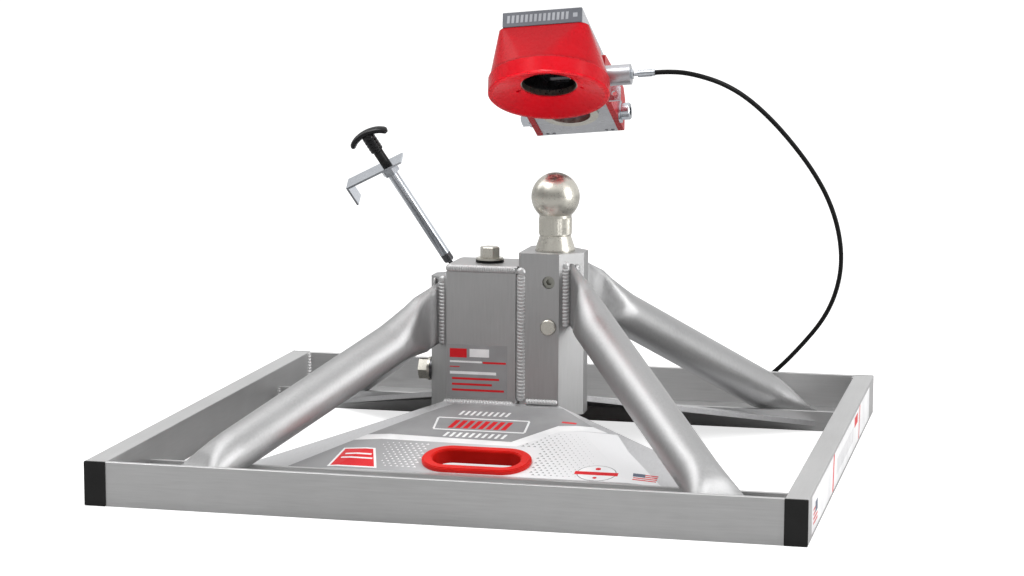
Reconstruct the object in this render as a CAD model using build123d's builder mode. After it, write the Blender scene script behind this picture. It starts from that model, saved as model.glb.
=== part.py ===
"""Lightweight fifth wheel hitch: a flat aluminium base with a gooseneck tower and a ball post,
the coupler that drops on to its ball, and the remote handle and cable that work the coupler's latch.
Millimetres, +Z up, origin at the middle of the base's footprint on the surface it stands on.
+Y points to the back of the base, +X to its right."""

import os
from math import atan2, cos, pi, radians, sin, sqrt, tan

from build123d import *

# ---------------------------------------------------------------- driving dimensions
FRAME_WIDTH = 812.8
FRAME_DEPTH = 762.0
RAIL_WIDTH = 25.4
RAIL_HEIGHT = 50.8
RAIL_WALL = 3.2
CAP_PLATE = 3.0
CAP_PLUG = 16.0
PLATE_THICKNESS = 6.35
PAN_OUTER = 380.0
PAN_INNER = 239.0
LIP_HEIGHT = 25.4

CORE_HALF_DEPTH = 38.1
CORE_CHAMFER = 25.4
CORE_LEFT = -100.4
CORE_RIGHT = 89.8
CORE_SPLIT = 14.0
CORE_BOTTOM = 58.0
TOWER_TOP = 231.0
END_BLOCK_TOP = 222.0
SEAM_CHAMFER = 3.0
TOWER_WALL = 9.5
LID_THICKNESS = 8.0
POST_TOP = 256.0
PLATE_TOP = 72.0

SLOT_CENTRE_X = 3.5
SLOT_CENTRE_Y = -202.5
SLOT_LENGTH = 104.0
SLOT_WIDTH = 40.0
GROMMET_ROLL = 12.5
SLEEVE = 2.5

TUBE_DIAMETER = 50.8
TUBE_WALL = 3.2
FLAT_THICKNESS = 9.0
RIGHT_BLADE_Z = 206.8
LEFT_BLADE_Z = 178.0
RIGHT_FOOT = (313.8, 318.5)
LEFT_FOOT = (318.0, 312.0)
FOOT_Z = 11.4

BALL_X = 51.5
BALL_Z = 321.5
BALL_DIAMETER = 58.74
SHANK_RADIUS = 19.05
PIN_Z = 167.0
LOCK_SCREW_Z = 221.4

GOOSENECK_X = -30.0
GOOSENECK_BORE = 29.8
SIDE_BOLT_Z = 104.0
BOLT_RADIUS = 7.94

# Where the coupler hangs: the middle of its rim, its turn about +Z, and its lean about the axis it pivots on
COUPLER_RIM = (45.4, -13.4, 444.2)
PIVOT_YAW = 10.75
COUPLER_LEAN = 27.5
SEAT_HEIGHT = 51.6
DOME_RADIUS = 29.9
RIM_RADIUS = 73.2
BAND_HEIGHT = 21.0
BAND_TOP_RADIUS = 71.4
CONE_RADIUS = 34.2
RING_BOTTOM = 14.2
SOCKET_BOTTOM = 22.0
SOCKET_RADIUS = 33.0
SOCKET_HALF = 40.5
FUNNEL_TOP_HALF = (55.0, 44.4)
BODY_HALF = 48.7
BODY_BOTTOM = 72.4
BODY_TOP = 91.7
BODY_FRONT = -44.2
BODY_REAR = 196.0
SIDE_PLATE = 7.4
KINGPIN_Y = 124.0
KINGPIN_BORE = 25.75
CLAMP_Y = 161.0
CLAMP_H = 43.0
CLAMP_RADIUS = 5.5
LATCH_Y = 30.0
LATCH_H = 33.9
HOUSING_START = 44.3
HOUSING_END = 94.4
PIVOT_X = 98.0
FERRULE_END = 123.6

HANDLE_END = (-112.0, 120.0, 223.0)
HANDLE_UP = (-0.4200, -0.4000, 0.8146)
HANDLE_ACROSS = (-0.8946, 0.0308, -0.4458)
HANDLE_TUBE_RADIUS = 6.75
HANDLE_TUBE_LENGTH = 142.0

CABLE_DIAMETER = 6.0
CABLE_ROUTE = [
    (219, 41, 468.0), (247, 59, 457.0), (272, 83, 439.0),
    (298, 112, 411.0), (322, 142, 378.0), (343, 174, 343.0), (360, 208, 304.0),
    (370, 243, 260.0), (371, 279, 214.0), (361, 312, 170.0), (342, 343, 130.0),
    (312, 371, 91.0), (279, 393, 54.0), (243, 402, 22.0), (203, 400, 4.0),
    (150, 397, 3.2), (98, 402, 3.2), (50, 398, 3.2), (14, 401, 8.0),
    (-12, 405, 26.0), (-26, 402, 50.0), (-33, 387, 70.0), (-37, 360, 79.0),
    (-39, 324, 80.0), (-42, 280, 88.0), (-48, 236, 107.0), (-61, 194, 135.0), (-78, 155, 168.0),
]

os.makedirs("parts", exist_ok=True)


# ---------------------------------------------------------------- helpers
def finish(builder, name):
    """Labels a finished piece and writes its STEP file."""
    builder.part.label = name
    export_step(builder.part, f"parts/{name}.step")


def carried(base, spot, normal=(0, 0, 1), across=(1, 0, 0)):
    """A plane carried by base. Its origin, normal and across are given in base's own axes."""
    origin = base.from_local_coords(Vector(*spot))
    normal_tip = base.from_local_coords(Vector(*normal))
    across_tip = base.from_local_coords(Vector(*across))
    return Plane(origin=origin, x_dir=across_tip - base.origin, z_dir=normal_tip - base.origin)


def row_plane(origin, normal, across):
    """A plane in the model's own axes."""
    return Plane(origin=Vector(*origin), x_dir=Vector(*across), z_dir=Vector(*normal))


def disc(plane, low, high, radius, bore=0.0, mode=Mode.ADD):
    """A round slab between two distances from the plane, with an optional bore through it."""
    with BuildSketch(plane.offset(low)) as profile:
        Circle(radius)
        if bore:
            Circle(bore, mode=Mode.SUBTRACT)
    extrude(profile.sketch, amount=high - low, dir=plane.z_dir, mode=mode)


def hexagon(plane, low, high, across_flats, bore=0.0, mode=Mode.ADD):
    """A hexagon between two distances from the plane."""
    with BuildSketch(plane.offset(low)) as profile:
        RegularPolygon(across_flats / 2, 6, major_radius=False)
        if bore:
            Circle(bore, mode=Mode.SUBTRACT)
    extrude(profile.sketch, amount=high - low, dir=plane.z_dir, mode=mode)


# ---------------------------------------------------------------- base frame
def side_rail(side):
    half = FRAME_DEPTH / 2 - CAP_PLATE
    with BuildPart() as rail:
        with BuildSketch(Plane.XZ.offset(half)):
            with Locations((side * (FRAME_WIDTH - RAIL_WIDTH) / 2, RAIL_HEIGHT / 2)):
                RectangleRounded(RAIL_WIDTH, RAIL_HEIGHT, 1.2)
                Rectangle(RAIL_WIDTH - 2 * RAIL_WALL, RAIL_HEIGHT - 2 * RAIL_WALL, mode=Mode.SUBTRACT)
        extrude(amount=-2 * half)
    return rail


for side_name, side in (("left", -1), ("right", 1)):
    finish(side_rail(side), f"{side_name}_side_rail")

# Moulded caps: a plate over each rail's end and a plug inside it
with BuildPart() as rail_end_caps:
    for end in (-1, 1):
        outer_face = Plane.XZ.offset(-end * FRAME_DEPTH / 2)
        rail_x = (FRAME_WIDTH - RAIL_WIDTH) / 2
        with BuildSketch(outer_face):
            with Locations((-rail_x, RAIL_HEIGHT / 2), (rail_x, RAIL_HEIGHT / 2)):
                RectangleRounded(RAIL_WIDTH, RAIL_HEIGHT, 1.2)
        extrude(amount=end * CAP_PLATE)
        with BuildSketch(outer_face.offset(end * CAP_PLATE)):
            with Locations((-rail_x, RAIL_HEIGHT / 2), (rail_x, RAIL_HEIGHT / 2)):
                Rectangle(RAIL_WIDTH - 2 * RAIL_WALL - 0.3, RAIL_HEIGHT - 2 * RAIL_WALL - 0.3)
        extrude(amount=end * CAP_PLUG)
finish(rail_end_caps, "rail_end_caps")


def pan_channel(end):
    """A folded pan between the rails: tall outer wall, flat floor and a low lip towards the middle."""
    wall = PLATE_THICKNESS
    outline = [
        (end * PAN_INNER, 0),
        (end * PAN_OUTER, 0),
        (end * PAN_OUTER, RAIL_HEIGHT),
        (end * (PAN_OUTER - wall), RAIL_HEIGHT),
        (end * (PAN_OUTER - wall), wall),
        (end * (PAN_INNER + wall), wall),
        (end * (PAN_INNER + wall), LIP_HEIGHT),
        (end * PAN_INNER, LIP_HEIGHT),
    ]
    half = FRAME_WIDTH / 2 - RAIL_WIDTH
    with BuildPart() as channel:
        with BuildSketch(Plane.YZ.offset(-half)):
            with BuildLine():
                Polyline(*outline, close=True)
            make_face()
        extrude(amount=2 * half)
        long_edges = channel.edges().filter_by(Axis.X)
        fillet(long_edges.group_by(Axis.Z)[-1], 1.0)
    return channel


for end_name, end in (("front", -1), ("rear", 1)):
    finish(pan_channel(end), f"{end_name}_channel")

# ---------------------------------------------------------------- gusset plates
CORE_FLAT_LEFT = CORE_LEFT + CORE_CHAMFER
CORE_FLAT_RIGHT = CORE_RIGHT - CORE_CHAMFER
CREASE_LEFT = -160.0
CREASE_RIGHT = 190.0
CORNER_LEFT = -298.0
CORNER_RIGHT = 345.0
CORNER_Z = 13.0
MIDDLE_SLOPE = (PLATE_TOP - LIP_HEIGHT) / (PAN_INNER - CORE_HALF_DEPTH)


def facet_plane(first, second, third):
    """The plane through three points, with its normal upwards."""
    one, two, three = Vector(*first), Vector(*second), Vector(*third)
    normal = (two - one).cross(three - one)
    if normal.Z < 0:
        normal = normal * -1
    return Plane(origin=one, z_dir=normal)


def folded_slab(end, drop):
    """Everything under the plate's top surface, lowered by drop: a middle facet and two that fold down."""
    near, far = end * CORE_HALF_DEPTH, end * PAN_INNER
    top, low = PLATE_TOP - drop, LIP_HEIGHT - drop
    corner = CORNER_Z - drop
    facets = [
        facet_plane((CORE_FLAT_LEFT, near, top), (CORE_FLAT_RIGHT, near, top), (CREASE_LEFT, far, low)),
        facet_plane((CORE_FLAT_LEFT, near, top), (CREASE_LEFT, far, low), (CORNER_LEFT, far, corner)),
        facet_plane((CORE_FLAT_RIGHT, near, top), (CREASE_RIGHT, far, low), (CORNER_RIGHT, far, corner)),
    ]
    with BuildPart() as slab:
        with BuildSketch(Plane.XY.offset(-20)):
            with BuildLine():
                Polyline(
                    (CORE_FLAT_LEFT, near),
                    (CORE_FLAT_RIGHT, near),
                    (CORNER_RIGHT, far),
                    (CORNER_LEFT, far),
                    close=True,
                )
            make_face()
        extrude(amount=120)
        for facet in facets:
            split(bisect_by=facet, keep=Keep.BOTTOM)
    return slab


SLOPE_ANGLE = atan2(MIDDLE_SLOPE, 1)
SLOT_TOP_Z = PLATE_TOP - MIDDLE_SLOPE * (-SLOT_CENTRE_Y - CORE_HALF_DEPTH)
slot_plane = row_plane(
    (SLOT_CENTRE_X, SLOT_CENTRE_Y, SLOT_TOP_Z), (0, -sin(SLOPE_ANGLE), cos(SLOPE_ANGLE)), (1, 0, 0)
)
upright_thickness = PLATE_THICKNESS / cos(SLOPE_ANGLE)
for end_name, end in (("front", -1), ("rear", 1)):
    under_plate = folded_slab(end, upright_thickness)
    with BuildPart() as gusset:
        add(folded_slab(end, 0).part)
        add(under_plate.part, mode=Mode.SUBTRACT)
        if end < 0:
            with BuildSketch(slot_plane.offset(-15)):
                SlotOverall(SLOT_LENGTH + 2 * SLEEVE, SLOT_WIDTH + 2 * SLEEVE)
            extrude(amount=30, mode=Mode.SUBTRACT)
    finish(gusset, f"{end_name}_gusset_plate")

# Rolled rubber grommet that lines the hand slot: a raised roll on top, a sleeve through, a lip below
with BuildPart() as hand_slot_grommet:
    for low, high, roll, throat in (
        (0.0, 3.4, GROMMET_ROLL, 0.0),
        (3.4, 4.4, GROMMET_ROLL - 0.8, 0.6),
        (4.4, 5.2, GROMMET_ROLL - 2.4, 2.0),
        (-PLATE_THICKNESS - 0.6, 0.0, SLEEVE - 0.2, 0.0),
        (-PLATE_THICKNESS - 6.0, -PLATE_THICKNESS - 0.6, 8.0, 0.0),
    ):
        with BuildSketch(slot_plane.offset(low)):
            SlotOverall(SLOT_LENGTH + 2 * roll, SLOT_WIDTH + 2 * roll)
            SlotOverall(SLOT_LENGTH + 2 * throat, SLOT_WIDTH + 2 * throat, mode=Mode.SUBTRACT)
        extrude(amount=high - low)
finish(hand_slot_grommet, "hand_slot_grommet")


# ---------------------------------------------------------------- legs
def flattened(width):
    """The long side of a round tube squeezed to the given width: its perimeter stays the same."""
    return (pi * TUBE_DIAMETER - pi * width) / 2 + width


def leg_loft(start, finish_point, first, last, inset):
    """A round tube whose top end is squeezed upright and whose foot is squeezed flat."""
    run = Vector(*finish_point) - Vector(*start)
    length = run.length
    along = run.normalized()
    heading = Vector(along.X, along.Y, 0).normalized()
    sideways = Vector(-heading.Y, heading.X, 0)
    half_way = (along + heading).normalized()
    stations = [
        (first, heading, FLAT_THICKNESS, "upright"),
        (16.0, heading, FLAT_THICKNESS, "upright"),
        (30.0, half_way, 17.0, "upright"),
        (44.0, half_way, 30.0, "upright"),
        (60.0, along, 44.0, "upright"),
        (78.0, along, TUBE_DIAMETER, "round"),
        (length - 78.0, along, TUBE_DIAMETER, "round"),
        (length - 62.0, along, 46.0, "flat"),
        (length - 46.0, along, 36.0, "flat"),
        (length - 28.0, half_way, 22.0, "flat"),
        (length - 12.0, heading, FLAT_THICKNESS + 2.0, "flat"),
        (last if last else length, heading, FLAT_THICKNESS, "flat"),
    ]
    sections = []
    for distance, normal, width, shape in stations:
        spot = Vector(*start) + along * distance
        long_side = flattened(width) - 2 * inset
        short_side = width - 2 * inset
        across, upright = (short_side, long_side) if shape != "flat" else (long_side, short_side)
        with BuildSketch(Plane(origin=spot, x_dir=sideways, z_dir=normal)) as section:
            RectangleRounded(across, upright, short_side / 2 - 0.02)
        sections.append(section.sketch)
    loft(sections, ruled=True)


def leg(side, end, blade_z, foot):
    core_x = CORE_RIGHT if side > 0 else CORE_LEFT
    start = Vector(core_x - side * CORE_CHAMFER / 2, end * (CORE_HALF_DEPTH - CORE_CHAMFER / 2), blade_z)
    foot_point = Vector(side * foot[0], end * foot[1], FOOT_Z)
    with BuildPart() as hollow:
        leg_loft(start, foot_point, 15.0, (foot_point - start).length - 11.0, TUBE_WALL)
    with BuildPart() as tube:
        leg_loft(start, foot_point, 0.7, 0, 0)
        add(hollow.part, mode=Mode.SUBTRACT)
        lip_middle = end * (PAN_INNER + PLATE_THICKNESS / 2)
        with BuildSketch(Plane.XY):
            with Locations((side * FRAME_WIDTH / 4, lip_middle)):
                Rectangle(FRAME_WIDTH / 2, PLATE_THICKNESS + 0.4)
        extrude(amount=LIP_HEIGHT + 0.2, mode=Mode.SUBTRACT)
    return tube


for end_name, end in (("front", -1), ("rear", 1)):
    finish(leg(1, end, RIGHT_BLADE_Z, RIGHT_FOOT), f"{end_name}_right_leg")
    finish(leg(-1, end, LEFT_BLADE_Z, LEFT_FOOT), f"{end_name}_left_leg")


# ---------------------------------------------------------------- gooseneck tower
def tower_outline():
    """The tower's plan: its two left corners are cut at 45 degrees, and its right ones chamfered for the seam."""
    left, right, half = CORE_LEFT, CORE_SPLIT, CORE_HALF_DEPTH
    Polygon(
        (right, -half + SEAM_CHAMFER),
        (right - SEAM_CHAMFER, -half),
        (left + CORE_CHAMFER, -half),
        (left, -half + CORE_CHAMFER),
        (left, half - CORE_CHAMFER),
        (left + CORE_CHAMFER, half),
        (right - SEAM_CHAMFER, half),
        (right, half - SEAM_CHAMFER),
        align=None,
    )


def slab_outline(left, right, front, rear):
    with Locations(((left + right) / 2, (front + rear) / 2)):
        Rectangle(right - left, rear - front)


def tower_room(inset):
    """The plan of the box inside the tower's walls, or of the lid over it, moved in by inset."""
    half = CORE_HALF_DEPTH - inset
    slab_outline(CORE_FLAT_LEFT + inset, CORE_SPLIT - inset, -half, half)


with BuildPart() as tower_housing:
    with BuildSketch(Plane.XY.offset(CORE_BOTTOM)):
        tower_outline()
    extrude(amount=TOWER_TOP - CORE_BOTTOM)
    with BuildSketch(Plane.XY.offset(CORE_BOTTOM)):
        tower_room(TOWER_WALL)
    extrude(amount=TOWER_TOP - CORE_BOTTOM, mode=Mode.SUBTRACT)
    # the solid block that closes the left end stops below the lid
    with BuildSketch(Plane.XY.offset(END_BLOCK_TOP)):
        slab_outline(CORE_LEFT, CORE_FLAT_LEFT, -CORE_HALF_DEPTH, CORE_HALF_DEPTH)
    extrude(amount=TOWER_TOP - END_BLOCK_TOP, mode=Mode.SUBTRACT)
    left_bolt_axis = row_plane((CORE_LEFT, 0, SIDE_BOLT_Z), (-1, 0, 0), (0, 1, 0))
    rear_bolt_axis = row_plane((GOOSENECK_X, CORE_HALF_DEPTH, SIDE_BOLT_Z), (0, 1, 0), (1, 0, 0))
    for bolt_axis, depth in ((left_bolt_axis, CORE_CHAMFER + TOWER_WALL), (rear_bolt_axis, TOWER_WALL)):
        disc(bolt_axis, -depth - 1, 1, BOLT_RADIUS + 0.3, mode=Mode.SUBTRACT)
finish(tower_housing, "tower_housing")

with BuildPart() as tower_floor:
    with BuildSketch(Plane.XY.offset(CORE_BOTTOM)):
        tower_room(TOWER_WALL + 0.1)
        with Locations((GOOSENECK_X, 0)):
            Circle(15.4, mode=Mode.SUBTRACT)
    extrude(amount=10)
finish(tower_floor, "tower_floor")

with BuildPart() as tower_lid:
    with BuildSketch(Plane.XY.offset(TOWER_TOP)):
        tower_room(1.2)
        with Locations((GOOSENECK_X, 0)):
            Circle(BOLT_RADIUS + 0.4, mode=Mode.SUBTRACT)
    extrude(amount=LID_THICKNESS)
    chamfer(tower_lid.faces().sort_by(Axis.Z)[-1].outer_wire().edges(), 1.0)
finish(tower_lid, "tower_lid")

LID_TOP = TOWER_TOP + LID_THICKNESS
gooseneck_axis = row_plane((GOOSENECK_X, 0, 0), (0, 0, 1), (1, 0, 0))

with BuildPart() as top_bolt_washer:
    disc(gooseneck_axis, LID_TOP, LID_TOP + 3.0, 17.2, BOLT_RADIUS + 0.4)
finish(top_bolt_washer, "top_bolt_washer")

with BuildPart() as top_bolt:
    disc(gooseneck_axis, LID_TOP + 3.2, LID_TOP + 5.6, 16.6)
    hexagon(gooseneck_axis, LID_TOP + 5.6, LID_TOP + 19.0, 21.0)
    chamfer(top_bolt.faces().sort_by(Axis.Z)[-1].edges(), 1.0)
    disc(gooseneck_axis, 64.0, LID_TOP + 3.2, BOLT_RADIUS)
finish(top_bolt, "top_bolt")

with BuildPart() as gooseneck_socket:
    with BuildSketch(Plane.XZ):
        with BuildLine():
            Polyline(
                (GOOSENECK_X + GOOSENECK_BORE, 4),
                (GOOSENECK_X + 37, 4),
                (GOOSENECK_X + 37, 40),
                (GOOSENECK_X + 15, 51),
                (GOOSENECK_X + 15, 112),
                (GOOSENECK_X + BOLT_RADIUS + 0.12, 112),
                (GOOSENECK_X + BOLT_RADIUS + 0.12, 56),
                (GOOSENECK_X, 56),
                (GOOSENECK_X, 46),
                (GOOSENECK_X + 14, 44),
                (GOOSENECK_X + GOOSENECK_BORE, 34),
                close=True,
            )
        make_face()
    revolve(axis=Axis((GOOSENECK_X, 0, 0), (0, 0, 1)))
finish(gooseneck_socket, "gooseneck_socket")


def side_bolt(axis_plane, reach):
    """A hex bolt with a flange, outside the tower's wall, whose shank presses on the socket's neck."""
    with BuildPart() as bolt:
        disc(axis_plane, 3.2, 6.2, 14.5)
        hexagon(axis_plane, 6.2, 17.5, 24.0)
        disc(axis_plane, -reach, 3.2, BOLT_RADIUS)
    return bolt


finish(side_bolt(left_bolt_axis, GOOSENECK_X - 15.3 - CORE_LEFT), "left_side_bolt")
finish(side_bolt(rear_bolt_axis, CORE_HALF_DEPTH - 15.3), "rear_side_bolt")
for washer_name, bolt_axis in (("left", left_bolt_axis), ("rear", rear_bolt_axis)):
    with BuildPart() as side_washer:
        disc(bolt_axis, 0.0, 3.0, 13.5, BOLT_RADIUS + 0.3)
    finish(side_washer, f"{washer_name}_side_washer")

# ---------------------------------------------------------------- ball post and ball
with BuildPart() as ball_post:
    with BuildSketch(Plane.XY.offset(CORE_BOTTOM)):
        with BuildLine():
            Polyline(
                (CORE_SPLIT, -CORE_HALF_DEPTH),
                (CORE_FLAT_RIGHT, -CORE_HALF_DEPTH),
                (CORE_RIGHT, -CORE_HALF_DEPTH + CORE_CHAMFER),
                (CORE_RIGHT, CORE_HALF_DEPTH - CORE_CHAMFER),
                (CORE_FLAT_RIGHT, CORE_HALF_DEPTH),
                (CORE_SPLIT, CORE_HALF_DEPTH),
                close=True,
            )
        make_face()
        with Locations((BALL_X, 0)):
            Circle(SHANK_RADIUS + 0.2, mode=Mode.SUBTRACT)
    extrude(amount=POST_TOP - CORE_BOTTOM)
    fillet(ball_post.edges().filter_by(Axis.Z).group_by(Axis.X)[0], 5.0)
    pin_axis = row_plane((BALL_X, -CORE_HALF_DEPTH, PIN_Z), (0, -1, 0), (1, 0, 0))
    screw_axis = row_plane((BALL_X, -CORE_HALF_DEPTH, LOCK_SCREW_Z), (0, -1, 0), (1, 0, 0))
    disc(pin_axis, -2 * CORE_HALF_DEPTH - 1, 1, 9.7, mode=Mode.SUBTRACT)
    disc(screw_axis, -CORE_HALF_DEPTH, 1, 7.7, mode=Mode.SUBTRACT)
finish(ball_post, "ball_post")

with BuildPart() as hitch_ball:
    with BuildSketch(Plane.XZ):
        Polygon(
            (BALL_X, 120),
            (BALL_X + SHANK_RADIUS - 2, 120),
            (BALL_X + SHANK_RADIUS, 122),
            (BALL_X + SHANK_RADIUS, POST_TOP + 0.2),
            (BALL_X + 24.2, POST_TOP + 0.2),
            (BALL_X + 24.2, POST_TOP + 2.2),
            (BALL_X + 18.8, 274.5),
            (BALL_X + 19.6, 275.5),
            (BALL_X + 19.6, BALL_Z - 19.6),
            (BALL_X, BALL_Z - 19.6),
            align=None,
        )
    revolve(axis=Axis((BALL_X, 0, 0), (0, 0, 1)))
    with Locations((BALL_X, 0, BALL_Z)):
        Sphere(BALL_DIAMETER / 2)
    disc(pin_axis, -2 * CORE_HALF_DEPTH - 1, 1, 9.7, mode=Mode.SUBTRACT)
finish(hitch_ball, "hitch_ball")

with BuildPart() as post_pin:
    disc(pin_axis, -2 * CORE_HALF_DEPTH - 8.0, 4.2, 9.52)
    chamfer(post_pin.faces().sort_by(Axis.Y)[0].edges(), 1.2)
    disc(pin_axis, -2 * CORE_HALF_DEPTH - 9.5, -2 * CORE_HALF_DEPTH - 1.5, 15.0)
finish(post_pin, "post_pin")

with BuildPart() as height_lock_screw:
    disc(screw_axis, -CORE_HALF_DEPTH + SHANK_RADIUS + 0.2, -4.5, 7.5)
    with BuildSketch(screw_axis.offset(-4.5)):
        RegularPolygon(3.5, 6, major_radius=False)
    extrude(amount=-6.0, mode=Mode.SUBTRACT)
finish(height_lock_screw, "height_lock_screw")

# ---------------------------------------------------------------- coupler
pivot_axis = Vector(cos(radians(PIVOT_YAW)), sin(radians(PIVOT_YAW)), 0)


def leaned(direction):
    """A level direction of the coupler, turned about the pivot axis by its lean."""
    return Vector(*direction).rotate(Axis((0, 0, 0), pivot_axis), -COUPLER_LEAN)


coupler = Plane(origin=Vector(*COUPLER_RIM), x_dir=leaned((1, 0, 0)), z_dir=leaned((0, 0, 1)))


with BuildPart() as coupler_block:
    with BuildSketch(coupler.offset(BODY_BOTTOM)):
        slab_outline(-BODY_HALF, BODY_HALF, BODY_FRONT, BODY_REAR)
        with Locations((0, KINGPIN_Y)):
            Circle(KINGPIN_BORE, mode=Mode.SUBTRACT)
    extrude(amount=BODY_TOP - BODY_BOTTOM)
    chamfer(coupler_block.faces().filter_by(coupler).sort_by(Axis.Z)[-1].outer_wire().edges(), 1.0)
    dome_height = BODY_BOTTOM - SEAT_HEIGHT
    dome_mouth = sqrt(DOME_RADIUS**2 - dome_height**2)
    with BuildSketch(carried(coupler, (0, 0, SEAT_HEIGHT), (0, -1, 0))):
        with BuildLine():
            Line((0, dome_height - 2), (0, DOME_RADIUS))
            RadiusArc((0, DOME_RADIUS), (dome_mouth, dome_height), DOME_RADIUS)
            Polyline((dome_mouth, dome_height), (dome_mouth, dome_height - 2), (0, dome_height - 2))
        make_face()
    revolve(axis=Axis(coupler.origin, coupler.z_dir), mode=Mode.SUBTRACT)
finish(coupler_block, "coupler_block")

with BuildPart() as coupler_label_plate:
    with BuildSketch(carried(coupler, (0, BODY_FRONT, (BODY_BOTTOM + BODY_TOP) / 2), (0, -1, 0))):
        RectangleRounded(2 * BODY_HALF - 0.6, BODY_TOP - BODY_BOTTOM - 0.6, 1.0)
    extrude(amount=1.2)
finish(coupler_label_plate, "coupler_label_plate")

latch_axis = carried(coupler, (0, LATCH_Y, LATCH_H), (1, 0, 0), (0, 1, 0))
with BuildPart() as socket_block:
    with BuildSketch(coupler.offset(SOCKET_BOTTOM)):
        Rectangle(2 * SOCKET_HALF, 2 * SOCKET_HALF)
        Circle(SOCKET_RADIUS, mode=Mode.SUBTRACT)
    extrude(amount=BODY_BOTTOM - SOCKET_BOTTOM)
    disc(latch_axis, -6.0, SOCKET_HALF + 1, 5.3, mode=Mode.SUBTRACT)
finish(socket_block, "socket_block")

with BuildPart() as socket_ring:
    disc(coupler, RING_BOTTOM, SOCKET_BOTTOM, 37.5, SOCKET_RADIUS)
finish(socket_ring, "socket_ring")

with BuildPart() as ball_seat:
    with BuildSketch(carried(coupler, (0, 0, SEAT_HEIGHT), (0, -1, 0))):
        with BuildLine():
            RadiusArc((dome_mouth, dome_height), (DOME_RADIUS, 0), DOME_RADIUS)
            Polyline(
                (DOME_RADIUS, 0),
                (SOCKET_RADIUS, 0),
                (SOCKET_RADIUS, dome_height),
                (dome_mouth, dome_height),
            )
        make_face()
    revolve(axis=Axis(coupler.origin, coupler.z_dir))
finish(ball_seat, "ball_seat")

radial_plane = carried(coupler, (0, 0, 0), (0, -1, 0))
socket_axis = Axis(coupler.origin, coupler.z_dir)
with BuildPart() as guide_funnel:
    with BuildSketch(radial_plane):
        Polygon(
            (0, 0),
            (RIM_RADIUS - 1.4, 0),
            (RIM_RADIUS, 1.4),
            (RIM_RADIUS, BAND_HEIGHT - 2),
            (BAND_TOP_RADIUS, BAND_HEIGHT),
            (0, BAND_HEIGHT),
            align=None,
        )
    revolve(axis=socket_axis)
    with BuildSketch(coupler.offset(BAND_HEIGHT)):
        RectangleRounded(2 * BAND_TOP_RADIUS, 2 * BAND_TOP_RADIUS, BAND_TOP_RADIUS - 0.02)
    with BuildSketch(coupler.offset(BODY_BOTTOM)):
        RectangleRounded(2 * FUNNEL_TOP_HALF[0], 2 * FUNNEL_TOP_HALF[1], 12.0)
    loft(ruled=True)
    # the square pocket round the socket block
    with BuildSketch(coupler.offset(SOCKET_BOTTOM)):
        Rectangle(2 * SOCKET_HALF + 0.4, 2 * SOCKET_HALF + 0.4)
    extrude(amount=BODY_BOTTOM - SOCKET_BOTTOM + 1, mode=Mode.SUBTRACT)
    # the guiding cone, and the seat of the steel ring above it
    with BuildSketch(radial_plane):
        Polygon((0, -1), (RIM_RADIUS - 3.5, -1), (CONE_RADIUS, RING_BOTTOM - 1.2), (CONE_RADIUS, RING_BOTTOM),
                (0, RING_BOTTOM), align=None)
    revolve(axis=socket_axis, mode=Mode.SUBTRACT)
    disc(coupler, RING_BOTTOM, SOCKET_BOTTOM + 1, 37.7, mode=Mode.SUBTRACT)
    disc(latch_axis, SOCKET_HALF - 2, RIM_RADIUS + 5, 12.6, mode=Mode.SUBTRACT)
    for screw_x, screw_y in ((-39.0, 5.9), (39.0, 8.0)):
        disc(carried(coupler, (screw_x, screw_y, 0)), 0, SOCKET_BOTTOM - 2, 2.6, mode=Mode.SUBTRACT)
finish(guide_funnel, "guide_funnel")

SIDE_PLATE_FRONT = 62.0
SIDE_PLATE_LOW = 31.0
for side_name, side in (("left", -1), ("right", 1)):
    plate_plane = carried(coupler, (side * BODY_HALF, 0, 0), (side, 0, 0), (0, side, 0))
    with BuildPart() as side_plate:
        with BuildSketch(plate_plane) as plate_face:
            Polygon(
                (side * SIDE_PLATE_FRONT, 78),
                (side * SIDE_PLATE_FRONT, 46),
                (side * (SIDE_PLATE_FRONT + 16), SIDE_PLATE_LOW),
                (side * BODY_REAR, SIDE_PLATE_LOW),
                (side * (BODY_REAR + 4), 76),
                (side * (BODY_REAR - 8), 88),
                align=None,
            )
            fillet(plate_face.vertices(), 4.0)
            with Locations((side * CLAMP_Y, CLAMP_H)):
                Circle(CLAMP_RADIUS + 0.2, mode=Mode.SUBTRACT)
        extrude(amount=SIDE_PLATE)
    finish(side_plate, f"{side_name}_side_plate")

KINGPIN_PLATE_LOW = 32.2
with BuildPart() as kingpin_plate:
    with BuildSketch(coupler.offset(KINGPIN_PLATE_LOW)):
        slab_outline(-BODY_HALF + 0.1, BODY_HALF - 0.1, 79, BODY_REAR)
        with Locations((0, KINGPIN_Y)):
            Circle(KINGPIN_BORE, mode=Mode.SUBTRACT)
        for screw_x in (-42, -34, 34, 42):
            with Locations((screw_x, BODY_REAR - 5)):
                Circle(2.3, mode=Mode.SUBTRACT)
    extrude(amount=4.8)
finish(kingpin_plate, "kingpin_plate")

with BuildPart() as kingpin_ring:
    disc(carried(coupler, (0, KINGPIN_Y, 0)), 26.8, KINGPIN_PLATE_LOW, 35.8, KINGPIN_BORE)
finish(kingpin_ring, "kingpin_ring")

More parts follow.
